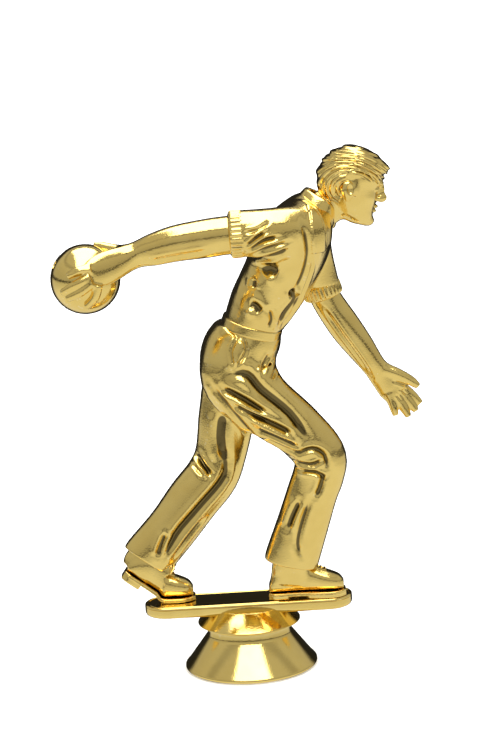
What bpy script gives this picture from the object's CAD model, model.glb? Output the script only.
"""Bowling trophy: detailed gold figure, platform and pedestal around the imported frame."""

import math

import bpy
import numpy as np
import openvdb
from mathutils import Matrix, Vector


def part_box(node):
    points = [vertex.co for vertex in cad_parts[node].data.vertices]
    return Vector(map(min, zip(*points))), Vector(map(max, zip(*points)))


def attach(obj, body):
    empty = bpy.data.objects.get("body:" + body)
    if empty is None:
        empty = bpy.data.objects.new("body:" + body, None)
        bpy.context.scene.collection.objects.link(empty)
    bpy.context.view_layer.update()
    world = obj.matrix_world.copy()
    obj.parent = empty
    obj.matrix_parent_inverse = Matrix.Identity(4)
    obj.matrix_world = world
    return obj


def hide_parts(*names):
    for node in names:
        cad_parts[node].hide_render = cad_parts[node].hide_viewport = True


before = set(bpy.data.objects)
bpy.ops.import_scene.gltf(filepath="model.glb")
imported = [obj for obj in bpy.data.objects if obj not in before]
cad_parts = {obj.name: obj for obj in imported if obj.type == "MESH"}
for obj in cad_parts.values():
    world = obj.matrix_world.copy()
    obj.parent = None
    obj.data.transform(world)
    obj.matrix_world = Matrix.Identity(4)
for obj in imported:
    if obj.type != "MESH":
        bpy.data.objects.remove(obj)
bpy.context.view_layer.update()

MM = 0.001
skirt_low, skirt_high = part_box("pedestal_skirt")
AXIS_X = (skirt_low[0] + skirt_high[0]) / 2 / MM      # pedestal axis in millimetres
AXIS_Y = (skirt_low[1] + skirt_high[1]) / 2 / MM
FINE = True
VOXEL = 0.22 if FINE else 0.4                        # sculpting grid, millimetres
BAND = 3.2                                           # reach of the distance fields

LENS, SENSOR = 122.0, 36.0                           # camera, millimetres
PITCH, ROLL = 12.0, 3.4                              # camera, degrees
CAMERA_SPOT = (2.8, -639.2, 215.4)                   # from the pedestal axis, millimetres
FLOOR_REACH, FLOOR_DROP = 4.0, 0.0002                # metres
WHITE = (1.0, 1.0, 1.0, 1.0)
WARM_WHITE = (1.0, 0.985, 0.95, 1.0)
SOFTBOX_GLOW = 4.2
EDGE_GLOW, FRAME_GLOW, GAP_GLOW = 0.03, 0.05, 0.02   # the dark parts of the tent


# ---- camera, light and floor ----
def make_camera():
    data = bpy.data.cameras.new("camera")
    data.lens = LENS
    data.sensor_width = SENSOR
    data.clip_start = 0.01
    cam = bpy.data.objects.new("camera", data)
    bpy.context.scene.collection.objects.link(cam)
    pitch = Matrix.Rotation(math.radians(90.0 - PITCH), 4, "X")
    roll = Matrix.Rotation(math.radians(-ROLL), 4, "Z")
    x, y, z = CAMERA_SPOT
    spot = Vector(((x + AXIS_X) * MM, (y + AXIS_Y) * MM, z * MM))
    cam.matrix_world = Matrix.Translation(spot) @ pitch @ roll
    bpy.context.scene.camera = cam


class Nodes:
    """Small helper that adds and wires shader nodes."""

    def __init__(self, tree):
        self.tree = tree
        tree.nodes.clear()

    def add(self, kind, **settings):
        node = self.tree.nodes.new(kind)
        for key, value in settings.items():
            setattr(node, key, value)
        return node

    def link(self, source, target):
        self.tree.links.new(source, target)

    def math(self, operation, a, b=None):
        node = self.add("ShaderNodeMath", operation=operation)
        for socket, value in zip(node.inputs, (a, b)):
            if value is None:
                continue
            if isinstance(value, (int, float)):
                socket.default_value = value
            else:
                self.link(value, socket)
        return node.outputs[0]

    def ramp(self, value, low, high, out_low=0.0, out_high=1.0):
        node = self.add("ShaderNodeMapRange", interpolation_type="SMOOTHSTEP")
        self.link(value, node.inputs["Value"])
        node.inputs["From Min"].default_value = low
        node.inputs["From Max"].default_value = high
        node.inputs["To Min"].default_value = out_low
        node.inputs["To Max"].default_value = out_high
        return node.outputs["Result"]


def mix_value(n, factor, a, b):
    """Blend two shader numbers by a factor."""
    keep = n.math("MULTIPLY", n.math("SUBTRACT", 1.0, factor), a)
    return n.math("ADD", keep, n.math("MULTIPLY", factor, b))


def make_world():
    """A studio tent: mid walls, a bright overhead softbox and a dark gap behind."""
    world = bpy.data.worlds.new("studio")
    bpy.context.scene.world = world
    world.use_nodes = True
    n = Nodes(world.node_tree)
    coord = n.add("ShaderNodeTexCoord")
    split = n.add("ShaderNodeSeparateXYZ")
    n.link(coord.outputs["Generated"], split.inputs[0])
    x, y, z = split.outputs
    # pale table below, a soft dark line at its far edge, mid walls above
    table = n.ramp(z, -0.50, -0.12, 0.80, 0.56)
    wall = n.ramp(z, 0.0, 0.65, 0.42, 0.52)
    glow = mix_value(n, n.ramp(z, -0.02, 0.02), table, wall)
    edge = n.math("MULTIPLY", n.ramp(z, -0.10, -0.02), n.ramp(z, 0.01, 0.07, 1.0, 0.0))
    glow = mix_value(n, n.math("MULTIPLY", edge, 0.93), glow, EDGE_GLOW)
    # strip softbox overhead with a dark frame round it
    side = n.math("ABSOLUTE", x)
    frame_line = n.math("MULTIPLY", n.ramp(z, 0.60, 0.64), n.ramp(z, 0.70, 0.74, 1.0, 0.0))
    frame_line = n.math("MULTIPLY", frame_line, n.ramp(side, 0.34, 0.42, 1.0, 0.35))
    glow = mix_value(n, n.math("MULTIPLY", frame_line, 0.9), glow, FRAME_GLOW)
    strip = n.math("MULTIPLY", n.ramp(z, 0.69, 0.73), n.ramp(side, 0.35, 0.40, 1.0, 0.0))
    glow = mix_value(n, strip, glow, SOFTBOX_GLOW)
    # dark gap behind the subject
    behind = n.math("MULTIPLY", n.ramp(y, 0.62, 0.78), n.ramp(z, 0.42, 0.56, 1.0, 0.0))
    glow = mix_value(n, behind, glow, GAP_GLOW)
    seen = n.add("ShaderNodeBackground")
    seen.inputs["Color"].default_value = WHITE
    seen.inputs["Strength"].default_value = 1.0
    lit = n.add("ShaderNodeBackground")
    lit.inputs["Color"].default_value = WARM_WHITE
    n.link(glow, lit.inputs["Strength"])
    path = n.add("ShaderNodeLightPath")
    mix = n.add("ShaderNodeMixShader")
    n.link(path.outputs["Is Camera Ray"], mix.inputs[0])
    n.link(lit.outputs[0], mix.inputs[1])
    n.link(seen.outputs[0], mix.inputs[2])
    out = n.add("ShaderNodeOutputWorld")
    n.link(mix.outputs[0], out.inputs[0])


def make_floor():
    mesh = bpy.data.meshes.new("floor")
    corners = [(x * FLOOR_REACH, y * FLOOR_REACH, 0) for x, y in ((-1, -1), (1, -1), (1, 1), (-1, 1))]
    mesh.from_pydata(corners, [], [(0, 1, 2, 3)])
    floor = bpy.data.objects.new("floor", mesh)
    floor.location.z = -FLOOR_DROP
    bpy.context.scene.collection.objects.link(floor)
    mat = bpy.data.materials.new("floor_paper")
    mat.use_nodes = True
    n = Nodes(mat.node_tree)
    paper = n.add("ShaderNodeBsdfPrincipled")
    paper.inputs["Base Color"].default_value = (0.93, 0.93, 0.93, 1.0)
    paper.inputs["Roughness"].default_value = 0.9
    paper.inputs["Emission Color"].default_value = WHITE
    paper.inputs["Emission Strength"].default_value = 0.35
    out = n.add("ShaderNodeOutputMaterial")
    n.link(paper.outputs[0], out.inputs[0])
    mesh.materials.append(mat)
    floor.visible_glossy = False


# ---- materials ----
def gold_material(name, roughness=0.09, ripple=0.05, grain=0.12, tint=(0.95, 0.725, 0.235)):
    """Vacuum-metallised gold: lacquer depth, soft moulding ripple and fine grain."""
    mat = bpy.data.materials.new(name)
    mat.use_nodes = True
    n = Nodes(mat.node_tree)
    coord = n.add("ShaderNodeTexCoord")
    place = coord.outputs["Object"]
    wide = n.add("ShaderNodeTexNoise")
    wide.inputs["Scale"].default_value = 160.0
    wide.inputs["Detail"].default_value = 2.0
    fine = n.add("ShaderNodeTexNoise")
    fine.inputs["Scale"].default_value = 2600.0
    fine.inputs["Detail"].default_value = 3.0
    for texture in (wide, fine):
        n.link(place, texture.inputs["Vector"])
    colour = n.add("ShaderNodeValToRGB")
    colour.color_ramp.elements[0].position = 0.3
    colour.color_ramp.elements[1].position = 0.75
    colour.color_ramp.elements[0].color = (tint[0] * 0.93, tint[1] * 0.9, tint[2] * 0.82, 1.0)
    colour.color_ramp.elements[1].color = (tint[0], tint[1], tint[2], 1.0)
    n.link(wide.outputs["Fac"], colour.inputs["Fac"])
    geometry = n.add("ShaderNodeNewGeometry")
    worn = n.ramp(geometry.outputs["Pointiness"], 0.53, 0.62)
    edge = n.add("ShaderNodeMix", data_type="RGBA")
    n.link(n.math("MULTIPLY", worn, 0.35), edge.inputs["Factor"])
    n.link(colour.outputs["Color"], edge.inputs["A"])
    edge.inputs["B"].default_value = (0.98, 0.86, 0.52, 1.0)
    # lacquer pools dark brown in creases
    pooled = n.add("ShaderNodeMix", data_type="RGBA")
    crease = n.add("ShaderNodeAttribute", attribute_name="crease")
    hollow = n.ramp(geometry.outputs["Pointiness"], 0.425, 0.488, 0.9, 0.0)
    deep = n.ramp(crease.outputs["Fac"], 0.55, 0.95, 0.0, 0.88)
    n.link(n.math("MAXIMUM", hollow, deep), pooled.inputs["Factor"])
    n.link(edge.outputs["Result"], pooled.inputs["A"])
    pooled.inputs["B"].default_value = (0.07, 0.05, 0.02, 1.0)
    shader = n.add("ShaderNodeBsdfPrincipled")
    shader.inputs["Metallic"].default_value = 1.0
    shader.inputs["Coat Weight"].default_value = 0.15
    shader.inputs["Coat Roughness"].default_value = 0.04
    n.link(pooled.outputs["Result"], shader.inputs["Base Color"])
    rough = n.ramp(fine.outputs["Fac"], 0.3, 0.7, roughness * 0.75, roughness * 1.35)
    n.link(rough, shader.inputs["Roughness"])
    soft = n.add("ShaderNodeBump")
    soft.inputs["Strength"].default_value = ripple
    soft.inputs["Distance"].default_value = 0.001
    n.link(wide.outputs["Fac"], soft.inputs["Height"])
    grainy = n.add("ShaderNodeBump")
    grainy.inputs["Strength"].default_value = grain
    grainy.inputs["Distance"].default_value = 0.0002
    n.link(fine.outputs["Fac"], grainy.inputs["Height"])
    n.link(soft.outputs[0], grainy.inputs["Normal"])
    n.link(grainy.outputs[0], shader.inputs["Normal"])
    out = n.add("ShaderNodeOutputMaterial")
    n.link(shader.outputs[0], out.inputs[0])
    return mat


def steel_material(name):
    mat = bpy.data.materials.new(name)
    mat.use_nodes = True
    n = Nodes(mat.node_tree)
    coord = n.add("ShaderNodeTexCoord")
    grain = n.add("ShaderNodeTexNoise")
    grain.inputs["Scale"].default_value = 900.0
    n.link(coord.outputs["Object"], grain.inputs["Vector"])
    shader = n.add("ShaderNodeBsdfPrincipled")
    shader.inputs["Metallic"].default_value = 1.0
    shader.inputs["Base Color"].default_value = (0.62, 0.62, 0.6, 1.0)
    n.link(n.ramp(grain.outputs["Fac"], 0.3, 0.7, 0.28, 0.5), shader.inputs["Roughness"])
    out = n.add("ShaderNodeOutputMaterial")
    n.link(shader.outputs[0], out.inputs[0])
    return mat


# ---- shape helpers ----
def blend(stations, steps):
    """Catmull-Rom blend of the design stations."""
    rows = np.array(stations, dtype=float)
    last = len(rows) - 1
    result = []
    for i in range(last):
        p0, p1, p2, p3 = rows[max(i - 1, 0)], rows[i], rows[i + 1], rows[min(i + 2, last)]
        for k in range(steps):
            t = k / steps
            result.append(p1 * (2 * t ** 3 - 3 * t ** 2 + 1) + p2 * (3 * t ** 2 - 2 * t ** 3)
                          + (p2 - p0) * 0.5 * (t ** 3 - 2 * t ** 2 + t)
                          + (p3 - p1) * 0.5 * (t ** 3 - t ** 2))
    result.append(rows[last])
    return np.array(result)


def power(values, exponent):
    return np.sign(values) * np.abs(values) ** exponent


def tube(stations, grow=0.0, steps=6, sides=64, shape=2.2, reach=(0.0, 0.0)):
    """Closed superellipse loft: points, quads and cap triangles, in millimetres."""
    rows = blend(stations, steps)
    centres = rows[:, :3].copy()
    count = len(rows)
    angle = np.linspace(0, 2 * math.pi, sides, endpoint=False)
    points = []
    for i in range(count):
        tangent = centres[min(i + 1, count - 1)] - centres[max(i - 1, 0)]
        tangent = tangent / np.linalg.norm(tangent)
        side = np.array((0.0, 1.0, 0.0))
        side = side - tangent * side.dot(tangent)
        side = side / np.linalg.norm(side)
        depth = np.cross(tangent, side)
        centre = centres[i].copy()
        if i == 0:
            centre -= tangent * reach[0]
        if i == count - 1:
            centre += tangent * reach[1]
        a = power(np.cos(angle), 2 / shape) * (rows[i, 3] + grow)
        b = power(np.sin(angle), 2 / shape) * (rows[i, 4] + grow)
        points.append(centre + np.outer(a, depth) + np.outer(b, side))
    return close_rings(np.array(points))


def close_rings(rings):
    """Points, quads and cap triangles of a body through equal rings."""
    count, sides = rings.shape[:2]
    points = rings.reshape(-1, 3)
    j = np.arange(sides)
    k = (j + 1) % sides
    quads = []
    for i in range(count - 1):
        quads.append(np.stack([i * sides + j, i * sides + k, (i + 1) * sides + k,
                               (i + 1) * sides + j], axis=1))
    quads = np.concatenate(quads)
    first = len(points)
    points = np.concatenate([points, rings[0].mean(0)[None], rings[-1].mean(0)[None]])
    top = (count - 1) * sides
    caps = np.concatenate([np.stack([k, j, np.full(sides, first)], axis=1),
                           np.stack([top + j, top + k, np.full(sides, first + 1)], axis=1)])
    return points, quads, caps


def wrap_quads(count, sides, reverse=False):
    """Quads of a grid whose rows and columns both close on themselves."""
    j = np.arange(sides)
    k = (j + 1) % sides
    if reverse:
        j, k = k, j
    quads = []
    for i in range(count):
        after = (i + 1) % count
        quads.append(np.stack([i * sides + j, i * sides + k, after * sides + k, after * sides + j],
                              axis=1))
    return np.concatenate(quads)


class Field:
    """Signed distance samples on one shared grid, in millimetres."""

    def __init__(self, low, high, voxel=VOXEL):
        self.voxel = voxel
        self.start = np.floor(np.array(low) / voxel).astype(int)
        stop = np.ceil(np.array(high) / voxel).astype(int)
        self.dims = tuple(stop - self.start + 1)
        axes = [(self.start[a] + np.arange(self.dims[a])) * voxel for a in range(3)]
        self.x = axes[0][:, None, None].astype(np.float32)
        self.y = axes[1][None, :, None].astype(np.float32)
        self.z = axes[2][None, None, :].astype(np.float32)
        self.d = np.full(self.dims, BAND, np.float32)

    def sample(self, body):
        points, quads, caps = body
        transform = openvdb.createLinearTransform(voxelSize=self.voxel)
        grid = openvdb.FloatGrid.createLevelSetFromPolygons(
            points.astype(np.float32), triangles=caps.astype(np.uint32),
            quads=quads.astype(np.uint32), transform=transform,
            halfWidth=BAND / self.voxel)
        values = np.zeros(self.dims, np.float32)
        grid.copyToArray(values, ijk=tuple(int(v) for v in self.start))
        return values

    def join(self, body, k=0.0):
        other = body if isinstance(body, np.ndarray) else self.sample(body)
        self.d = smooth_min(self.d, other, k)
        return self

    def cut(self, body, k=0.0):
        other = body if isinstance(body, np.ndarray) else self.sample(body)
        self.d = -smooth_min(-self.d, other, k)
        return self

    def plane(self, point, normal):
        """Distance above a plane, for cutting away what lies on its upper side."""
        n = np.array(normal, dtype=float)
        n = n / np.linalg.norm(n)
        return ((self.x - point[0]) * n[0] + (self.y - point[1]) * n[1]
                + (self.z - point[2]) * n[2]).astype(np.float32)

    def keep_below(self, point, normal):
        self.d = np.maximum(self.d, np.clip(self.plane(point, normal), -BAND, BAND))
        return self

    def ellipsoid(self, centre, radii):
        q = np.sqrt(((self.x - centre[0]) / radii[0]) ** 2 + ((self.y - centre[1]) / radii[1]) ** 2
                    + ((self.z - centre[2]) / radii[2]) ** 2)
        return np.clip((q - 1.0) * min(radii), -BAND, BAND).astype(np.float32)

    def relax(self, times):
        for _ in range(times):
            for axis in range(3):
                body = self.d
                self.d = (np.roll(body, 1, axis) + np.roll(body, -1, axis) + 2 * body) / 4
        return self

    def surface(self):
        grid = openvdb.FloatGrid(BAND)
        grid.copyFromArray(self.d, ijk=tuple(int(v) for v in self.start))
        grid.transform = openvdb.createLinearTransform(voxelSize=self.voxel)
        points, quads = grid.convertToQuads(0.0)
        return points.astype(float), quads.astype(np.int64)


def smooth_min(a, b, k):
    if k <= 0:
        return np.minimum(a, b)
    h = np.clip(0.5 + 0.5 * (b - a) / k, 0, 1)
    return (b + (a - b) * h - k * h * (1 - h)).astype(np.float32)


class Skin:
    """A polygon surface that can be smoothed and pushed along its normals."""

    def __init__(self, points, quads, caps=None):
        self.p = points
        self.quads = quads
        self.caps = caps if caps is not None else np.zeros((0, 3), int)
        self.crease = np.zeros(len(points))
        first, second = quads[:, (0, 1, 2)], quads[:, (0, 2, 3)]
        faces = np.concatenate([first, second, self.caps])
        a, b, c = (points[faces[:, i]] - points.mean(0) for i in range(3))
        if np.einsum("ij,ij->i", a, np.cross(b, c)).sum() < 0:
            self.quads, self.caps = quads[:, ::-1], self.caps[:, ::-1]

    def normals(self):
        p, q = self.p, self.quads
        face = np.cross(p[q[:, 2]] - p[q[:, 0]], p[q[:, 3]] - p[q[:, 1]])
        total = np.zeros_like(p)
        for c in range(4):
            for a in range(3):
                total[:, a] += np.bincount(q[:, c], face[:, a], len(p))
        length = np.linalg.norm(total, axis=1)[:, None]
        return total / np.maximum(length, 1e-12)

    def smooth(self, times, amount=0.5):
        q = self.quads
        ends = np.concatenate([q[:, (0, 1)], q[:, (1, 2)], q[:, (2, 3)], q[:, (3, 0)]])
        ends = np.concatenate([ends, ends[:, ::-1]])
        degree = np.bincount(ends[:, 0], minlength=len(self.p))[:, None]
        for step in range(times):
            total = np.stack([np.bincount(ends[:, 0], self.p[ends[:, 1], a], len(self.p))
                              for a in range(3)], axis=1)
            mean = total / np.maximum(degree, 1)
            factor = amount if step % 2 == 0 else -amount * 1.02
            self.p = self.p + (mean - self.p) * factor
        return self

    def push(self, offsets):
        self.p = self.p + self.normals() * offsets[:, None]
        return self

    def folds(self, strokes, side=-1.0):
        """Creases drawn in the side view: (points, width, depth); they press in."""
        normal = self.normals()
        facing = np.clip(normal[:, 1] * side * 1.6 + 0.25, 0, 1)
        total = np.zeros(len(self.p))
        for path, width, depth in strokes:
            total += stroke(self.p[:, (0, 2)], path, width, depth)
        self.crease = np.maximum(self.crease, np.clip(-total * facing / 0.55, 0, 1))
        return self.push(total * facing)

    def object(self, name, material, sharp=None):
        mesh = bpy.data.meshes.new(name)
        points = (self.p + (AXIS_X, AXIS_Y, 0.0)) * MM
        faces = self.quads.tolist() + self.caps.tolist()
        mesh.from_pydata(points.tolist(), [], faces)
        mesh.shade_smooth()
        layer = mesh.attributes.new("crease", "FLOAT", "POINT")
        layer.data.foreach_set("value", self.crease.astype(np.float32))
        if sharp:
            mesh.set_sharp_from_angle(angle=math.radians(sharp))
        mesh.materials.append(material)
        obj = bpy.data.objects.new(name, mesh)
        bpy.context.scene.collection.objects.link(obj)
        return obj


def stroke(flat, path, width, depth):
    """Crease profile round a polyline: a valley with a low shoulder on each side."""
    best = np.full(len(flat), 1e9)
    along = np.zeros(len(flat))
    path = np.array(path, dtype=float)
    if len(path) > 2:
        path = blend(path, 4)
    lengths = np.linalg.norm(np.diff(path, axis=0), axis=1)
    total = lengths.sum()
    done = 0.0
    for a, b, length in zip(path, path[1:], lengths):
        t = np.clip(((flat - a) @ (b - a)) / (length * length), 0, 1)
        gap = np.linalg.norm(flat - a - t[:, None] * (b - a), axis=1)
        nearer = gap < best
        best[nearer] = gap[nearer]
        along[nearer] = (done + t[nearer] * length) / total
        done += length
    taper = np.clip(np.minimum(along, 1 - along) * 5 + 0.15, 0, 1)
    u = best / width
    return depth * taper * (-np.exp(-u * u) + 0.42 * np.exp(-((u - 1.7) ** 2) / 0.7))


def patch(flat, outline, edge):
    """One inside a closed outline in the side view, falling to zero over the edge width."""
    corners = np.array(outline, dtype=float)
    inside = np.zeros(len(flat), bool)
    gap = np.full(len(flat), 1e9)
    for a, b in zip(corners, np.roll(corners, -1, axis=0)):
        t = np.clip(((flat - a) @ (b - a)) / ((b - a) @ (b - a)), 0, 1)
        gap = np.minimum(gap, np.linalg.norm(flat - a - t[:, None] * (b - a), axis=1))
        crosses = (a[1] > flat[:, 1]) != (b[1] > flat[:, 1])
        where = a[0] + (flat[:, 1] - a[1]) * (b[0] - a[0]) / (b[1] - a[1] + 1e-9)
        inside ^= crosses & (flat[:, 0] < where)
    signed = np.where(inside, gap, -gap)
    return np.clip(0.5 + signed / edge, 0, 1)


def finish_piece(obj, slot, *nodes):
    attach(obj, "root")
    if nodes:
        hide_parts(*nodes)


# ---- figure stations (centre x, y, z, half depth, half width), millimetres ----
FRONT_LEG = [(2.4, -4.2, 85.4, 6.6, 5.2), (1.2, -5.6, 79.6, 9.8, 6.6), (6.2, -6.2, 72.6, 8.5, 6.9),
             (14.7, -6.4, 65.5, 7.0, 6.8), (20.8, -6.2, 57.7, 6.7, 6.2),
             (20.4, -5.8, 52.6, 6.7, 5.8), (18.4, -5.2, 47.2, 6.6, 5.7),
             (15.5, -4.6, 38.8, 6.8, 5.7), (12.5, -4.0, 30.4, 7.1, 5.6),
             (11.9, -3.9, 28.3, 7.1, 5.5)]
REAR_LEG = [(1.0, 4.2, 85.4, 6.4, 5.2), (-0.6, 5.6, 79.6, 8.1, 6.6), (-1.4, 5.9, 73.6, 7.5, 6.8),
            (-2.9, 5.8, 65.6, 7.4, 6.6), (-4.8, 5.5, 56.9, 6.8, 6.1),
            (-7.5, 5.0, 50.9, 7.0, 5.9), (-12.9, 4.3, 44.8, 7.0, 5.7),
            (-18.7, 3.6, 37.7, 6.8, 5.5), (-25.0, 3.0, 30.9, 6.9, 5.2),
            (-26.3, 2.8, 29.3, 6.8, 5.1)]
SEAT = [(5.3, 0.0, 91.0, 7.6, 10.6), (4.4, 0.0, 88.2, 8.4, 11.1),
        (2.0, 0.0, 85.8, 9.5, 11.7), (0.9, 0.0, 82.8, 9.7, 12.1), (0.9, 0.0, 78.4, 9.4, 11.8)]
BELT = [(5.6, 0.0, 92.5, 7.8, 10.9), (4.9, 0.0, 90.3, 7.9, 10.9)]
SHIRT = [(5.4, 0.0, 91.6, 7.3, 10.5), (5.8, 0.0, 92.8, 7.6, 10.8), (6.8, 0.0, 94.7, 8.0, 11.2),
         (8.4, 0.0, 97.4, 8.5, 11.8), (11.9, 0.0, 102.8, 9.0, 12.8),
         (15.5, 0.0, 109.2, 9.5, 14.2), (18.9, 0.0, 115.2, 8.9, 14.6),
         (21.9, 0.0, 119.8, 6.8, 11.6), (23.8, 0.0, 122.2, 4.8, 6.6)]
RIGHT_SLEEVE = [(19.6, -7.8, 116.9, 6.7, 6.2), (15.2, -11.6, 117.1, 6.6, 6.2),
                (9.6, -12.9, 117.5, 6.1, 5.8), (4.9, -13.1, 117.7, 5.9, 5.5),
                (3.4, -13.1, 117.7, 5.8, 5.4)]
LEFT_SLEEVE = [(19.6, 8.4, 115.6, 6.9, 6.2), (21.3, 12.0, 111.2, 5.9, 5.9),
               (22.5, 13.8, 105.4, 5.3, 5.3), (23.8, 14.4, 99.2, 5.1, 4.9),
               (24.0, 14.4, 98.0, 5.1, 4.9)]
RIGHT_ARM = [(5.0, -13.1, 117.6, 4.9, 4.6), (-0.4, -13.1, 117.4, 4.9, 4.6),
             (-5.6, -13.0, 116.9, 4.9, 4.5), (-12.6, -12.6, 116.1, 4.6, 4.3),
             (-18.4, -12.2, 114.8, 4.1, 3.8), (-22.6, -11.8, 113.7, 3.4, 3.4),
             (-25.4, -12.4, 112.9, 3.5, 3.1), (-28.4, -14.2, 112.0, 4.0, 2.6),
             (-31.0, -16.0, 111.2, 4.2, 2.2), (-33.4, -17.6, 110.5, 3.8, 1.7),
             (-34.9, -18.3, 110.0, 3.0, 1.1)]
LEFT_ARM = [(23.6, 14.4, 99.6, 4.1, 3.8), (25.5, 14.5, 94.4, 4.1, 3.8),
            (29.7, 14.6, 87.2, 4.3, 3.8), (33.5, 14.7, 81.4, 3.9, 3.4),
            (37.0, 14.8, 76.0, 3.2, 2.8), (39.3, 14.8, 72.7, 3.5, 2.1),
            (41.7, 14.7, 70.0, 4.2, 1.8), (43.4, 14.6, 68.2, 3.9, 1.4)]
BALL_CENTRE = np.array((-36.2, -10.5, 108.0))
BALL_R = 8.9
RIGHT_FINGERS = [[(2.0, 3.9), (-1.0, 3.6), (-3.9, 2.4)], [(1.8, 1.9), (-2.0, 0.2), (-5.6, -1.9)],
                 [(2.2, 0.5), (-1.0, -1.8), (-4.4, -3.4)], [(3.6, -0.2), (2.6, -3.4), (0.2, -5.8)]]
RIGHT_THUMB = [(-25.4, -11.6, 114.4, 1.8), (-28.8, -9.8, 115.0, 1.5),
               (-31.6, -8.4, 115.7, 1.3), (-33.6, -7.9, 116.2, 0.9)]
LEFT_FINGERS = [
    [(43.0, 15.0, 70.6, 1.3), (45.4, 15.4, 68.6, 1.3), (47.4, 15.4, 66.6, 1.2), (49.1, 15.1, 64.7, 0.85)],
    [(42.6, 14.8, 69.4, 1.3), (44.9, 15.0, 66.9, 1.3), (46.5, 14.9, 64.8, 1.2), (47.8, 14.6, 62.8, 0.85)],
    [(41.8, 14.5, 68.4, 1.3), (43.6, 14.4, 65.5, 1.25), (44.8, 14.2, 63.3, 1.15), (45.7, 13.9, 61.5, 0.8)],
    [(40.6, 14.2, 68.0, 1.2), (41.4, 13.9, 65.4, 1.15), (41.9, 13.7, 63.6, 1.05), (42.2, 13.5, 62.1, 0.75)]]
LEFT_THUMB = [(39.8, 14.4, 74.8, 1.7), (43.0, 14.1, 73.4, 1.6), (46.0, 13.8, 71.8, 1.35),
              (47.6, 13.6, 70.6, 1.15), (48.6, 13.5, 69.7, 0.8)]
BELT_POINT = (5.25, 0.0, 91.4)
BELT_NORMAL = (0.31, 0.0, 0.95)


def fingers(paths, field, k):
    for path in paths:
        rows = [(x, y, z, r, r) for x, y, z, r in path]
        field.join(tube(rows, steps=6, sides=20, shape=2.0), k)


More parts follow.
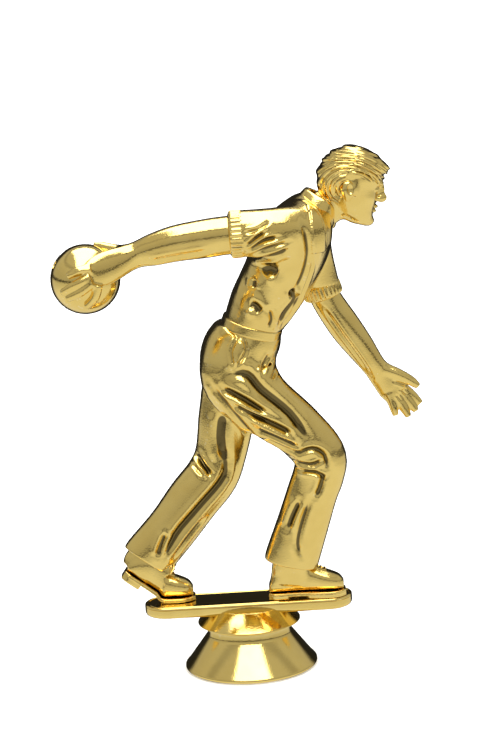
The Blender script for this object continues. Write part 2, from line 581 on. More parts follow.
# ---- trousers ----
def make_trousers(material):
    f = Field((-35, -15, 23), (31, 15, 93))
    front = f.sample(tube(FRONT_LEG))
    rear = f.sample(tube(REAR_LEG))
    legs = smooth_min(front, rear, 0.9)
    f.join(legs)
    f.join(tube(SEAT), 2.4)
    for leg in (FRONT_LEG, REAR_LEG):
        f.cut(tube(leg[-2:], grow=-0.8, steps=1, reach=(-1.0, 2.0)), 0.3)
    top = (BELT_POINT[0], 0.0, BELT_POINT[2] - 0.6)
    f.keep_below(top, BELT_NORMAL)
    f.relax(2)
    skin = Skin(*f.surface()).smooth(6)
    near = [
        ([(1.6, 91.0), (-0.5, 87.2), (0.1, 83.0)], 0.45, 0.40),
        ([(2.8, 90.6), (3.3, 87.0), (0.2, 82.8)], 0.45, 0.40),
        ([(-1.2, 81.7), (3.4, 81.2), (6.8, 77.0), (13.6, 70.6), (18.0, 63.4)], 1.3, 1.15),
        ([(-6.6, 79.4), (-1.0, 71.4), (3.4, 65.2), (6.4, 62.0)], 0.7, 0.55),
        ([(-3.6, 78.0), (2.2, 74.7), (8.0, 70.4)], 0.85, 0.95),
        ([(-0.8, 73.4), (4.2, 70.6), (7.4, 68.6)], 0.7, 0.65),
        ([(3.2, 71.0), (8.4, 68.2), (14.0, 65.0)], 0.85, 1.0),
        ([(4.4, 66.8), (10.6, 63.8), (15.6, 61.0)], 0.7, 0.8),
        ([(6.4, 64.0), (12.0, 61.2), (16.2, 59.2)], 0.6, 0.6),
        ([(14.6, 59.4), (18.8, 60.8), (22.0, 58.8), (22.4, 55.2)], 0.7, 0.75),
        ([(13.6, 57.2), (18.0, 56.4), (21.6, 57.6)], 0.6, 0.65),
        ([(15.4, 54.6), (19.4, 54.2), (21.8, 52.6)], 0.55, 0.65),
        ([(21.4, 53.6), (20.6, 50.6), (19.2, 47.4)], 0.8, 0.75),
        ([(14.8, 46.6), (12.6, 42.4), (11.2, 38.8)], 0.8, 0.8),
        ([(17.4, 47.0), (15.0, 40.4), (13.8, 35.0), (14.8, 31.0)], 0.8, 0.6),
        ([(-3.6, 68.6), (-4.6, 62.4), (-4.0, 56.2)], 1.5, 1.1),
        ([(-3.8, 57.8), (-4.4, 51.6), (-11.6, 43.8), (-17.8, 37.2), (-22.4, 29.4)], 1.1, 0.95),
        ([(-11.6, 58.0), (-9.8, 55.4), (-7.6, 52.2)], 0.7, 1.0),
        ([(-12.4, 55.2), (-9.6, 52.4)], 0.6, 0.5),
        ([(-20.4, 37.8), (-22.2, 34.0), (-23.0, 31.4)], 0.8, 0.95),
        ([(-10.0, 41.4), (-15.6, 35.0), (-19.6, 29.8)], 0.6, 0.6),
        ([(-3.2, 70.6), (0.6, 65.6), (2.2, 62.6)], 0.6, 0.6),
        ([(9.4, 85.6), (7.6, 82.6), (7.0, 80.6)], 0.55, 0.5),
        ([(11.0, 81.6), (9.4, 79.2)], 0.5, 0.45),
    ]
    far = [
        ([(1.6, 91.0), (-0.5, 87.2), (0.1, 83.0)], 0.45, 0.40),
        ([(2.8, 90.6), (3.3, 87.0), (0.2, 82.8)], 0.45, 0.40),
        ([(-6.0, 80.0), (-2.0, 74.0), (4.0, 70.0)], 1.1, 0.9),
        ([(-8.6, 76.0), (-3.6, 68.0), (2.6, 62.0)], 1.0, 0.8),
        ([(-9.6, 60.6), (-5.6, 58.0), (-0.6, 57.0)], 0.8, 0.8),
        ([(-12.0, 56.6), (-8.4, 54.0), (-3.0, 52.6)], 0.8, 0.8),
        ([(-3.0, 52.0), (-9.0, 45.6), (-14.6, 40.0)], 0.9, 0.8),
        ([(-17.0, 44.6), (-21.6, 39.0), (-26.0, 34.4)], 0.9, 0.7),
        ([(9.6, 70.6), (15.6, 64.0), (20.6, 60.0)], 0.9, 0.8),
        ([(17.6, 52.6), (14.6, 44.6), (12.4, 36.0)], 0.9, 0.8),
        ([(13.6, 58.4), (18.0, 57.4), (22.6, 58.6)], 0.7, 0.7),
    ]
    skin.folds(near, -1.0)
    skin.folds(far, 1.0)
    welt = [(1.7, 89.6), (0.6, 87.0), (0.5, 84.6), (2.1, 86.8), (2.4, 89.2)]
    skin.push(0.3 * patch(skin.p[:, (0, 2)], welt, 0.8) * (np.abs(skin.p[:, 1]) > 6))
    skin.smooth(1, 0.3)
    return skin.object("trousers", material)


# ---- shirt ----
def make_shirt(material):
    f = Field((-6, -20, 88), (33, 20, 128))
    f.join(tube(SHIRT))
    f.join(tube(RIGHT_SLEEVE), 2.6)
    f.join(tube(LEFT_SLEEVE), 2.6)
    f.cut(tube([(25.6, 0.0, 122.6, 4.9, 4.9), (30.0, 0.0, 128.0, 5.4, 5.4)], steps=2,
               reach=(1.5, 0.0)), 0.3)
    f.relax(2)
    skin = Skin(*f.surface()).smooth(6)
    front_edge = ([(21.2, 111.4), (20.8, 106.8), (17.2, 98.4), (12.8, 91.8)], 0.4, 0.5)
    near = [
        ([(4.6, 118.6), (8.0, 119.2), (11.0, 121.0)], 0.5, 0.5),
        ([(4.9, 115.0), (7.6, 117.1), (9.9, 118.8)], 0.55, 0.8),
        ([(5.2, 113.6), (9.0, 116.2), (13.2, 117.0)], 0.6, 0.75),
        ([(5.4, 112.2), (10.0, 114.2), (16.0, 115.6)], 0.6, 0.55),
        ([(4.6, 110.6), (10.6, 111.6), (15.6, 113.6)], 0.8, 0.9),
        ([(8.4, 107.0), (10.4, 107.9), (12.6, 107.0)], 1.5, 1.0),
        ([(6.4, 105.2), (6.0, 103.2)], 0.7, 0.7),
        ([(4.8, 99.2), (6.4, 98.4), (7.6, 96.8)], 1.2, 0.9),
        ([(3.0, 108.6), (2.2, 105.0), (0.8, 101.6)], 0.6, 0.5),
        ([(14.8, 103.0), (16.6, 99.6), (13.8, 95.8), (12.6, 92.6)], 0.9, 0.8),
        ([(9.8, 97.6), (10.4, 94.6), (9.4, 92.4)], 0.7, 0.6),
        ([(19.2, 121.0), (20.2, 115.6), (20.0, 110.0), (17.6, 103.6), (13.4, 98.6)], 0.7, 0.55),
        front_edge,
    ]
    far = [
        ([(19.0, 110.0), (16.6, 104.0), (12.0, 97.0)], 0.9, 0.8),
        ([(8.6, 112.0), (11.6, 106.0), (9.6, 100.0)], 0.9, 0.9),
        ([(19.6, 104.6), (22.6, 103.6), (25.0, 105.0)], 0.6, 0.6),
        ([(20.0, 101.6), (23.0, 100.6), (26.4, 102.0)], 0.6, 0.6),
        ([(4.6, 102.0), (8.0, 98.0), (7.0, 94.0)], 0.8, 0.8),
        ([(16.6, 118.6), (14.0, 113.6), (16.0, 108.6)], 0.8, 0.7),
        front_edge,
    ]
    skin.folds(near, -1.0)
    skin.folds(far, 1.0)
    lapel = [(20.6, 123.6), (21.2, 118.4), (21.3, 111.8), (24.4, 111.6), (26.6, 114.0), (26.8, 120.0)]
    side_on = np.clip(np.abs(skin.normals()[:, 1]) * 4 - 0.4, 0, 1)
    body = (np.abs(skin.p[:, 1]) < 12.5) | (skin.p[:, 0] > 21.4)
    skin.push(0.65 * patch(skin.p[:, (0, 2)], lapel, 0.35) * side_on * body)
    skin.smooth(1, 0.3)
    return skin.object("shirt", material)


def ribbed_band(name, start, end, radius, ribs, material, depth=0.28):
    """A knitted cuff: ribs run along the sleeve, edges rolled in."""
    start, end = np.array(start), np.array(end)
    axis = (end - start) / np.linalg.norm(end - start)
    side = np.array((0.0, 1.0, 0.0))
    side = side - axis * side.dot(axis)
    side = side / np.linalg.norm(side)
    up = np.cross(axis, side)
    sides = ribs * 10
    angle = np.linspace(0, 2 * math.pi, sides, endpoint=False)
    rib = np.abs(np.cos(angle * ribs / 2)) ** 1.5
    rows = []
    profile = [(-0.02, -1.5), (-0.05, -0.5), (0.02, 0.0), (0.1, 0.28), (0.25, 0.35), (0.5, 0.38),
               (0.75, 0.35), (0.9, 0.28), (0.98, 0.0), (1.05, -0.5), (1.02, -1.5)]
    for along, lift in profile:
        weight = max(0.0, min(1.0, lift / 0.3 + 0.3))
        r = radius[0] + lift + rib * depth * weight
        s = radius[1] + lift + rib * depth * weight
        centre = start + (end - start) * along
        rows.append(centre + np.outer(np.cos(angle) * r, up) + np.outer(np.sin(angle) * s, side))
    return Skin(*close_rings(np.array(rows))).object(name, material)


# ---- arms and hands ----
def make_right_arm(material):
    f = Field((-46, -24, 99), (7, -4, 124), VOXEL * 0.75)
    f.join(tube(RIGHT_ARM))
    for offsets in RIGHT_FINGERS:
        path = []
        for step, (dx, dz) in enumerate(offsets):
            drop = math.sqrt((BALL_R + 0.5) ** 2 - dx * dx - dz * dz)
            path.append((BALL_CENTRE[0] + dx, BALL_CENTRE[1] - drop, BALL_CENTRE[2] + dz,
                         (1.25, 1.15, 0.95)[step]))
        fingers([path], f, 0.7)
    fingers([RIGHT_THUMB], f, 0.8)
    f.relax(2)
    skin = Skin(*f.surface()).smooth(4)
    creases = [([(-33.4, 112.4), (-36.6, 112.6), (-39.6, 111.0)], 0.4, 0.15),
               ([(-4.0, 114.4), (-12.0, 113.4), (-20.0, 112.2)], 0.7, 0.35)]
    skin.folds(creases, -1.0)
    return skin.object("right_arm", material)


def make_left_arm(material):
    f = Field((17, 9, 59), (52, 20, 102), VOXEL * 0.75)
    f.join(tube(LEFT_ARM))
    fingers(LEFT_FINGERS + [LEFT_THUMB], f, 0.7)
    f.relax(2)
    skin = Skin(*f.surface()).smooth(4)
    creases = [([(24.6, 92.6), (28.6, 86.0), (33.2, 78.6), (36.4, 73.0)], 0.6, 0.35),
               ([(42.0, 71.6), (44.4, 70.6), (46.6, 69.4)], 0.35, 0.25),
               ([(43.6, 69.4), (45.4, 67.4)], 0.3, 0.2), ([(42.6, 67.8), (44.0, 65.8)], 0.3, 0.2)]
    skin.folds(creases, -1.0)
    return skin.object("left_arm", material)


# ---- head ----
HEAD_CENTRE = np.array((33.1, 0.0, 126.7))
HEAD_TILT = math.radians(16.0)
SKULL = [(-9.6, 5.6, 1.4, 1.9), (-8.9, 6.7, -0.8, 3.2), (-7.2, 6.9, -3.0, 4.6),
         (-5.0, 6.7, -4.6, 5.4), (-3.0, 6.9, -5.8, 5.9), (-1.0, 6.7, -7.0, 6.3),
         (0.6, 6.6, -7.9, 6.6), (2.4, 7.3, -8.3, 6.7), (4.6, 7.1, -8.1, 6.5),
         (6.8, 5.5, -6.9, 5.6), (8.3, 3.0, -4.8, 4.0), (9.0, 0.6, -2.2, 1.6)]
HAIR = [(-4.6, -3.6, -7.8, 3.6), (-2.2, -1.8, -9.0, 5.8), (0.6, -0.6, -9.6, 6.9),
        (3.0, 4.4, -9.3, 7.3), (4.6, 7.8, -8.8, 7.2), (6.2, 8.1, -7.9, 6.8),
        (7.9, 6.0, -6.2, 5.8), (9.1, 3.2, -4.2, 4.2), (9.9, 0.6, -1.8, 1.7)]


def to_world(local):
    """Head frame (front, side, up) to millimetres, with the forward nod."""
    c, s = math.cos(HEAD_TILT), math.sin(HEAD_TILT)
    x = local[..., 0] * c + local[..., 2] * s
    z = -local[..., 0] * s + local[..., 2] * c
    return np.stack([x, local[..., 1], z], axis=-1) + HEAD_CENTRE


def to_head(world):
    c, s = math.cos(HEAD_TILT), math.sin(HEAD_TILT)
    q = world - HEAD_CENTRE
    return np.stack([q[..., 0] * c - q[..., 2] * s, q[..., 1], q[..., 0] * s + q[..., 2] * c], axis=-1)


def head_rings(table, sides=64, shape=2.2):
    angle = np.linspace(0, 2 * math.pi, sides, endpoint=False)
    rings = []
    for up, front, back, half in blend(table, 6):
        ahead = (front + back) / 2 + (front - back) / 2 * power(np.cos(angle), 2 / shape)
        side = half * power(np.sin(angle), 2 / shape)
        rings.append(np.stack([ahead, side, np.full(sides, up)], axis=1))
    return close_rings(to_world(np.array(rings)))


def blob(u, v, w, centre, radii):
    """Smooth bump of height one in the head frame."""
    return np.exp(-(((u - centre[0]) / radii[0]) ** 2 + ((v - centre[1]) / radii[1]) ** 2
                    + ((w - centre[2]) / radii[2]) ** 2))


def make_head(material):
    f = Field((18, -9, 112), (46, 9, 139), VOXEL * 0.6)
    f.join(head_rings(SKULL))
    f.join(tube([(24.2, 0.0, 119.6, 4.5, 4.3), (27.2, 0.0, 122.0, 4.8, 4.3),
                 (31.0, 0.0, 126.4, 4.8, 4.4)]), 1.4)
    parts = [  # nose bridge, tip and wings, chin, lips, brow: centre and radii in the head frame
        ((7.1, 0.0, 0.3), (1.25, 0.8, 2.6), 0.9), ((8.2, 0.0, -1.8), (1.2, 0.9, 1.0), 0.8),
        ((7.4, 0.9, -2.1), (0.9, 0.65, 0.65), 0.5), ((7.4, -0.9, -2.1), (0.9, 0.65, 0.65), 0.5),
        ((6.2, 0.0, -8.3), (1.4, 1.9, 1.1), 1.0), ((6.9, 0.0, -4.3), (0.8, 1.5, 0.5), 0.35),
        ((6.8, 0.0, -5.4), (0.8, 1.3, 0.55), 0.35), ((6.5, 2.1, 2.0), (1.1, 1.9, 0.65), 0.6),
        ((6.5, -2.1, 2.0), (1.1, 1.9, 0.65), 0.6)]
    for centre, radii, k in parts:
        spot = to_world(np.array(centre, dtype=float))
        f.join(f.ellipsoid(spot, radii), k)
    for side in (-1.0, 1.0):
        socket = to_world(np.array((8.0, side * 2.7, 0.3)))
        f.cut(f.ellipsoid(socket, (1.8, 1.5, 1.0)), 0.5)
        eye = to_world(np.array((5.7, side * 2.5, 0.3)))
        f.join(f.ellipsoid(eye, (1.1, 1.25, 0.8)), 0.15)
    hair = f.sample(head_rings(HAIR))
    f.join(hair, 0.35)
    for side in (-1.0, 1.0):
        ear = to_world(np.array((-1.3, side * 6.7, -1.0)))
        f.join(f.ellipsoid(ear, (1.7, 1.2, 2.5)), 0.25)
        lobe = to_world(np.array((-1.0, side * 6.5, -3.0)))
        f.join(f.ellipsoid(lobe, (0.8, 0.7, 0.9)), 0.3)
        bowl = to_world(np.array((-0.8, side * 8.1, -0.5)))
        f.cut(f.ellipsoid(bowl, (0.95, 1.1, 1.5)), 0.2)
        burn = to_world(np.array((0.6, side * 6.2, 0.0)))
        f.join(f.ellipsoid(burn, (0.8, 0.7, 2.2)), 0.5)
    f.relax(1)
    skin = Skin(*f.surface()).smooth(4)
    local = to_head(skin.p)
    u, v, w = local[:, 0], local[:, 1], local[:, 2]
    push = -0.22 * blob(u, v, w, (7.2, 0.0, -4.9), (1.5, 1.6, 0.22))
    for side in (-1.0, 1.0):
        push += 0.10 * blob(u, v, w, (6.6, side * 2.2, 0.85), (1.5, 1.3, 0.22))
        push -= 0.10 * blob(u, v, w, (6.6, side * 2.2, 0.55), (1.5, 1.2, 0.15))
        push += 0.25 * blob(u, v, w, (5.0, side * 3.9, -2.0), (2.0, 1.6, 1.4))
        push -= 0.25 * blob(u, v, w, (7.6, side * 0.75, -2.75), (0.5, 0.35, 0.35))
        push += 0.14 * blob(u, v, w, (6.9, side * 2.1, 2.5), (1.5, 1.7, 0.32))
    hairline = np.clip((w - (3.6 - 0.25 * (u + 2.0))) / 0.6, 0, 1)
    hairline = np.maximum(hairline, np.clip((-2.4 - u) / 0.6, 0, 1) * np.clip((w + 5.2) / 1.2, 0, 1))
    reach = np.sqrt((u + 0.6) ** 2 * 0.55 + (w + 0.6) ** 2 + (v * 0.35) ** 2)
    wander = 0.9 * np.sin(u * 0.55 + 0.6) + 0.5 * np.sin(w * 0.8 + v * 0.4)
    strands = (0.17 * np.sin(reach * 6.4 + wander)
               + 0.12 * np.sin(reach * 11.3 - wander * 1.6 + 1.3)
               + 0.06 * np.sin(reach * 19.0 + wander * 2.2))
    skin.push(push + strands * hairline)
    return skin.object("head_and_neck", material)


def make_collar(material):
    """Turned-down shirt collar with two points in front."""
    sides = 96
    angle = np.linspace(0, 2 * math.pi, sides, endpoint=False)
    turned = np.minimum(angle, 2 * math.pi - angle)
    opening = np.clip((turned - 0.5) / 0.9, 0.1, 1.0)
    base, top = np.array((24.4, 0.0, 119.6)), np.array((25.6, 0.0, 123.4))
    axis = np.array((0.5, 0.0, 0.866))
    ahead = np.array((0.866, 0.0, -0.5))
    side = np.array((0.0, 1.0, 0.0))
    rows = []
    profile = [(0.0, 4.9, -1.6), (0.55, 4.9, 0.0), (1.0, 5.2, 0.6), (1.02, 5.6, 0.55),
               (0.8, 6.3, -0.4), (0.45, 7.2, -1.5), (0.2, 7.8, -2.3), (0.17, 7.6, -2.7),
               (0.1, 6.8, -2.6), (0.0, 5.6, -2.4)]
    for along, radius, lift in profile:
        centre = base + (top - base) * along
        drop = lift * opening - 1.6 * (1 - opening)
        r = 4.9 + (radius - 4.9) * opening
        rows.append(centre + np.outer(r * np.cos(angle), ahead) + np.outer(r * np.sin(angle), side)
                    + np.outer(drop, axis))
    rings = np.array(rows)
    skin = Skin(rings.reshape(-1, 3), wrap_quads(len(rings), sides))
    obj = skin.object("collar", material)
    mod = obj.modifiers.new("round", "SUBSURF")
    mod.levels = 1
    mod.render_levels = 1
    return obj


def make_belt(material):
    body = tube(BELT, grow=0.15, steps=4, sides=160, reach=(0.1, 0.3))
    skin = Skin(*body)
    obj = skin.object("waistband", material)
    mod = obj.modifiers.new("edge", "BEVEL")
    mod.width = 0.35 * MM
    mod.segments = 3
    mod.limit_method = "ANGLE"
    return obj


# ---- ball ----
def make_ball(material):
    f = Field(BALL_CENTRE - 10.5, BALL_CENTRE + 10.5)
    f.d = np.clip(np.sqrt((f.x - BALL_CENTRE[0]) ** 2 + (f.y - BALL_CENTRE[1]) ** 2
                          + (f.z - BALL_CENTRE[2]) ** 2) - BALL_R, -BAND, BAND).astype(np.float32)
    for turn, tilt in ((150.0, 8.0), (166.0, -6.0), (128.0, -4.0)):
        a, b = math.radians(turn), math.radians(tilt)
        ray = np.array((math.cos(b) * math.cos(a), -math.sin(b), math.cos(b) * math.sin(a)))
        rows = [(*(BALL_CENTRE + ray * reach), 1.05, 1.05) for reach in (5.0, 7.0, 11.0)]
        f.cut(tube(rows, steps=2, sides=32, shape=2.0), 0.15)
    skin = Skin(*f.surface()).smooth(2)
    return skin.object("ball", material)


# ---- pedestal and platform ----
def lathe(name, profile, material, steps=180):
    """Closed turned body from a (radius, height) loop round the pedestal axis."""
    loop = np.array(profile, dtype=float)
    angle = np.linspace(0, 2 * math.pi, steps, endpoint=False)
    points = np.stack([np.outer(loop[:, 0], np.cos(angle)), np.outer(loop[:, 0], np.sin(angle)),
                       np.repeat(loop[:, 1][:, None], steps, 1)], axis=2).reshape(-1, 3)
    return Skin(points, wrap_quads(len(loop), steps, reverse=True)).object(name, material, sharp=32)


def arc(cx, cz, radius, start, end, count=6):
    """Points of a rounded corner."""
    angles = np.radians(np.linspace(start, end, count))
    return [(cx + radius * math.cos(a), cz + radius * math.sin(a)) for a in angles]


def make_skirt(material):
    profile = [(11.15, 11.05), (11.15, 9.6), (11.3, 9.15), (11.5, 8.8), (16.75, 1.75)]
    profile += arc(16.9, 0.75, 0.62, 45, -70, 8)
    profile += [(16.9, 0.0), (16.3, 0.0), (15.9, 0.9), (9.9, 8.5), (9.9, 9.7), (2.3, 9.7), (2.3, 11.05)]
    return lathe("pedestal_skirt_shell", profile, material)


def make_neck(material):
    profile = [(9.2, 16.55), (9.35, 16.5), (13.3, 12.62)] + arc(13.35, 12.35, 0.2, 60, -60, 5)
    profile += [(13.0, 12.05), (11.7, 11.55)] + arc(11.6, 11.3, 0.25, 90, 180, 4)
    profile += [(11.35, 11.15), (11.2, 11.12), (1.7, 11.2), (1.7, 16.6)]
    return lathe("pedestal_neck", profile, material)


BACK, FRONT, HALF, LOW, HIGH = -27.3, 27.6, 6.3, 15.3, 18.4


def stadium_rows(levels, sides=40):
    rows = []
    for inset, z in levels:
        radius = HALF - inset
        ring = []
        for centre, start in ((FRONT - HALF, -90), (BACK + HALF, 90)):
            for a in np.radians(np.linspace(start, start + 180, sides)):
                ring.append((centre + radius * math.cos(a), radius * math.sin(a), z))
        rows.append(ring)
    return np.array(rows)


def make_platform(material, mirror):
    levels = [(1.1, LOW)]
    for a in np.radians(np.linspace(10, 90, 7)):
        levels.append((1.1 - 1.1 * math.sin(a), LOW + 1.1 - 1.1 * math.cos(a)))
    levels += [(0.0, HIGH - 0.75), (0.12, HIGH - 0.68), (0.12, HIGH - 0.55)]
    for a in np.radians(np.linspace(-20, 200, 11)):
        levels.append((0.42 - 0.42 * math.cos(a), HIGH - 0.38 + 0.38 * math.sin(a)))
    levels += [(0.98, HIGH - 0.5), (1.0, HIGH - 2.1)]
    tray = Skin(*close_rings(stadium_rows(levels))).object("platform_body", material, sharp=40)
    deck_levels = [(1.05, HIGH - 1.1), (1.05, HIGH - 0.22), (1.15, HIGH - 0.12), (1.6, HIGH - 0.1)]
    deck = Skin(*close_rings(stadium_rows(deck_levels))).object("platform_top", mirror, sharp=40)
    return tray, deck


# ---- shoes ----
SHOE_FLOOR = HIGH + 0.1
SOLE_PLAN = [(0.0, 1.9), (1.6, 3.0), (5.0, 2.9), (9.0, 3.0), (13.0, 3.7), (16.6, 3.9),
             (19.0, 3.1), (20.4, 1.5)]
UPPER_PLAN = [(0.15, 1.5, 1.9), (0.7, 2.3, 3.4), (2.0, 2.8, 5.0), (5.0, 3.0, 6.8), (8.4, 3.0, 7.6),
              (11.4, 3.2, 6.8), (14.0, 3.5, 5.7), (16.6, 3.5, 4.7), (18.8, 2.6, 3.7), (19.9, 1.2, 2.4)]
BEND_AT, LIFT, STRETCH, TALL = 13.4, math.radians(38.0), 1.05, 1.1


def foot_map(local, heel, lifted):
    """Shoe frame (along, across, up) to millimetres; the rear heel is raised."""
    along, across, up = local[..., 0].copy(), local[..., 1], local[..., 2]
    x, z = along, up
    if lifted:
        along = along * STRETCH
        back = np.maximum(BEND_AT - along, 0.0)
        turn = LIFT * np.clip(back / 3.0, 0.1, 1)
        x = np.where(back > 0, BEND_AT - back * np.cos(turn) + up * np.sin(turn), along)
        z = np.where(back > 0, back * np.sin(turn) + up * np.cos(turn), up)
    return np.stack([heel[0] + x, heel[1] + across, SHOE_FLOOR + z], axis=-1)


def shoe_rings(rows, heel, lifted, base, sides=48, shape=2.6):
    angle = np.linspace(0, 2 * math.pi, sides, endpoint=False)
    rings = []
    for along, half, tall in blend(rows, 5):
        across = power(np.cos(angle), 2 / shape) * half
        height = tall * (TALL if lifted else 1.0)
        up = base + height / 2 + power(np.sin(angle), 2 / shape) * height / 2
        rings.append(np.stack([np.full(sides, along), across, up], axis=1))
    return close_rings(foot_map(np.array(rings), heel, lifted))


def sole_rings(plan, low, high, heel, lifted, grow=0.0):
    rows = blend(plan, 6)
    rings = []
    section = [(-1, 0.0, -0.18), (-1, 0.2, 0.0), (-1, 0.8, 0.0), (-1, 1.0, -0.18),
               (1, 1.0, -0.18), (1, 0.8, 0.0), (1, 0.2, 0.0), (1, 0.0, -0.18)]
    for along, half in rows:
        ring = []
        for side, level, inset in section:
            ring.append((along, side * (half + grow + inset), low + (high - low) * level))
        rings.append(ring)
    return close_rings(foot_map(np.array(rings), heel, lifted))


def make_shoe(prefix, heel, lifted, ankle, material, sole_material):
    low = 0.0 if lifted else 0.7
    base = low + 1.05
    ends = {False: ((4, -8, 17), (28, 4, 31)), True: ((-38, -4, 17), (-12, 8, 34))}[lifted]
    f = Field(ends[0], ends[1], VOXEL * 0.6)
    f.join(shoe_rings(UPPER_PLAN, heel, lifted, base))
    f.join(tube(ankle, steps=5, sides=48), 1.2)
    f.relax(2)
    skin = Skin(*f.surface()).smooth(4)
    upper = skin.object(prefix + "_upper_leather", material)
    f = Field(ends[0], ends[1], VOXEL * 0.6)
    f.join(sole_rings(SOLE_PLAN, low, low + 0.55, heel, lifted))
    f.join(sole_rings(SOLE_PLAN, low + 0.6, low + 1.05, heel, lifted, 0.22), 0.1)
    fore = [row for row in blend(SOLE_PLAN, 3).tolist() if row[0] >= 9.6]
    if not lifted:
        f.join(sole_rings(fore, 0.0, 0.8, heel, lifted, -0.1), 0.1)
    heel_low = -1.3 if lifted else 0.0
    f.join(sole_rings([(0.05, 1.9), (1.6, 2.95), (5.2, 2.8)], heel_low, low + 0.3, heel, lifted), 0.05)
    skin = Skin(*f.surface()).smooth(2)
    sole = skin.object(prefix + "_sole_welt", sole_material)
    return upper, sole


def lace_cord(name, points, radius, material):
    """Moulded lace: a bevelled curve through points in millimetres."""
    curve = bpy.data.curves.new(name, "CURVE")
    curve.dimensions = "3D"
    curve.bevel_depth = radius * MM
    curve.bevel_resolution = 3
    curve.resolution_u = 6
    spline = curve.splines.new("POLY")
    path = blend([tuple(p) for p in points], 5)
    spline.points.add(len(path) - 1)
    for point, value in zip(spline.points, path):
        point.co = ((value[0] + AXIS_X) * MM, (value[1] + AXIS_Y) * MM, value[2] * MM, 1.0)
    curve.materials.append(material)
    obj = bpy.data.objects.new(name, curve)
    bpy.context.scene.collection.objects.link(obj)
    return obj


def make_laces(prefix, heel, lifted, material):
    """Lace bars up the instep and a tied bow below the trouser hem."""
    base = (0.0 if lifted else 0.7) + 1.05
    rows = blend(UPPER_PLAN, 6)
    grow = TALL if lifted else 1.0

    def over(along, across, lift=0.12):
        half = np.interp(along, rows[:, 0], rows[:, 1])
        tall = np.interp(along, rows[:, 0], rows[:, 2]) * grow
        bulge = max(1 - abs(across / half) ** 2.6, 0.0) ** (1 / 2.6)
        return foot_map(np.array((along, across, base + tall / 2 * (1 + bulge) + lift)), heel, lifted)

    cords = []
    for step in range(6):
        along = 9.6 + step * 1.05
        wide = 1.7 - 0.12 * step
        line = [over(along + 0.25 * t, wide * t) for t in np.linspace(-1, 1, 7)]
        cords.append(lace_cord(f"{prefix}_lace_{step + 1}", line, 0.3, material))
    for side in (-1.0, 1.0):
        edge = [over(9.0 + 0.8 * t, side * (2.1 - 0.13 * t), 0.05) for t in range(9)]
        cords.append(lace_cord(f"{prefix}_facing_{'near' if side < 0 else 'off'}", edge, 0.22, material))
        for turn, size in ((0.5, 1.7), (-0.7, 1.4)):
            loop = []
            for a in np.linspace(0, 2 * math.pi, 13):
                out = size * (1 - math.cos(a)) / 2
                loop.append(over(8.6 + out * turn + 0.45 * math.sin(a), side * (1.2 + out), 0.35))
            label = "front" if turn > 0 else "back"
            cords.append(lace_cord(f"{prefix}_bow_{'near' if side < 0 else 'off'}_{label}", loop, 0.24,
                                   material))
    return cords


# ---- assemble ----
make_camera()
make_world()
make_floor()

cloth = gold_material("gold_cloth", 0.10, 0.06, 0.2)
skin_gold = gold_material("gold_skin", 0.09, 0.05, 0.14)
turned_gold = gold_material("gold_turned", 0.07, 0.02, 0.1)
mirror_gold = gold_material("gold_deck", 0.04, 0.01, 0.01)
hair_gold = gold_material("gold_head", 0.11, 0.05, 0.14)
steel = steel_material("zinc_steel")

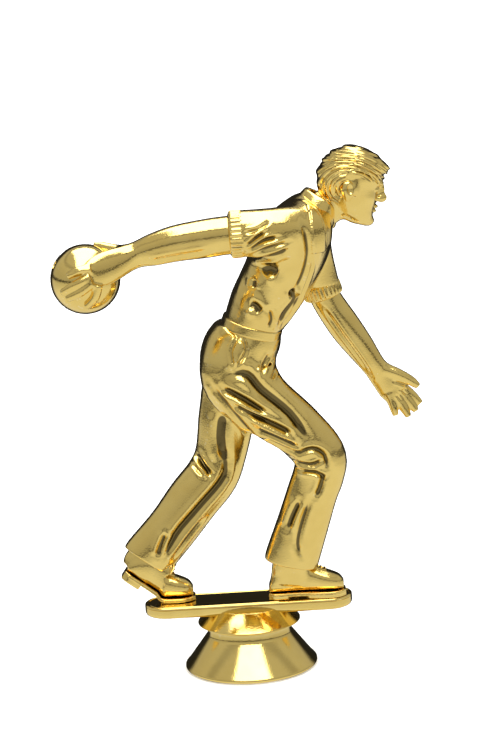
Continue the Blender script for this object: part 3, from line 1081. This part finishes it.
finish_piece(make_trousers(cloth), "front_leg_gold", "front_leg", "rear_leg", "trouser_seat")
finish_piece(make_shirt(cloth), "shirt_body_gold", "shirt_body", "right_sleeve", "left_sleeve")
finish_piece(make_belt(cloth), "belt_gold", "belt")
finish_piece(make_collar(cloth), "shirt_collar_gold", "shirt_collar")
finish_piece(ribbed_band("right_knit_cuff", (4.6, -13.1, 117.7), (0.9, -13.1, 117.6), (5.45, 5.15),
                         30, cloth), "right_cuff_gold", "right_cuff")
finish_piece(ribbed_band("left_knit_cuff", (23.9, 14.4, 98.9), (24.9, 14.5, 95.2), (4.6, 4.4),
                         26, cloth), "left_cuff_gold", "left_cuff")
finish_piece(make_right_arm(skin_gold), "right_forearm_gold", "right_forearm", "right_hand")
finish_piece(make_left_arm(skin_gold), "left_forearm_gold", "left_forearm", "left_hand")
finish_piece(make_head(hair_gold), "head_gold", "head")
finish_piece(make_ball(turned_gold), "bowling_ball_gold", "bowling_ball")
finish_piece(make_skirt(turned_gold), "pedestal_skirt_gold", "pedestal_skirt")
finish_piece(make_neck(turned_gold), "pedestal_collar_gold", "pedestal_collar")
tray_piece, deck_piece = make_platform(turned_gold, mirror_gold)
finish_piece(tray_piece, "platform_tray_gold", "platform_tray")
finish_piece(deck_piece, "platform_deck_gold", "platform_deck")

FRONT_ANKLE = [(12.6, -3.7, 30.6, 4.6, 3.4), (11.6, -3.0, 26.4, 4.9, 3.3), (11.2, -2.5, 23.4, 4.6, 2.9)]
REAR_ANKLE = [(-23.6, 3.0, 32.4, 4.6, 3.4), (-27.6, 2.4, 28.4, 5.1, 3.3), (-29.4, 2.1, 26.6, 4.2, 2.8)]
upper, sole = make_shoe("front_shoe", (5.6, -2.2), False, FRONT_ANKLE, cloth, turned_gold)
finish_piece(upper, "front_shoe_upper_gold", "front_shoe_upper")
finish_piece(sole, "front_shoe_sole_gold", "front_shoe_sole")
for cord in make_laces("front_shoe", (5.6, -2.2), False, cloth):
    finish_piece(cord, "front_shoe_upper_gold")
rear_heel = (-13.8 - 20.4 * STRETCH, 1.8)
upper, sole = make_shoe("rear_shoe", rear_heel, True, REAR_ANKLE, cloth, turned_gold)
finish_piece(upper, "rear_shoe_upper_gold", "rear_shoe_upper")
finish_piece(sole, "rear_shoe_sole_gold", "rear_shoe_sole")
for cord in make_laces("rear_shoe", rear_heel, True, cloth):
    finish_piece(cord, "rear_shoe_upper_gold")

kept_nodes = dict.fromkeys(("hex_nut", "platform_screw", "screw_washer", "front_foot_pin",
                            "rear_foot_pin"), steel)
kept_nodes["nut_boss"] = gold_material("gold_boss", 0.3)
for node, look in kept_nodes.items():
    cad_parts[node].data.materials.clear()
    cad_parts[node].data.materials.append(look)

bpy.context.scene.view_settings.view_transform = "Standard"
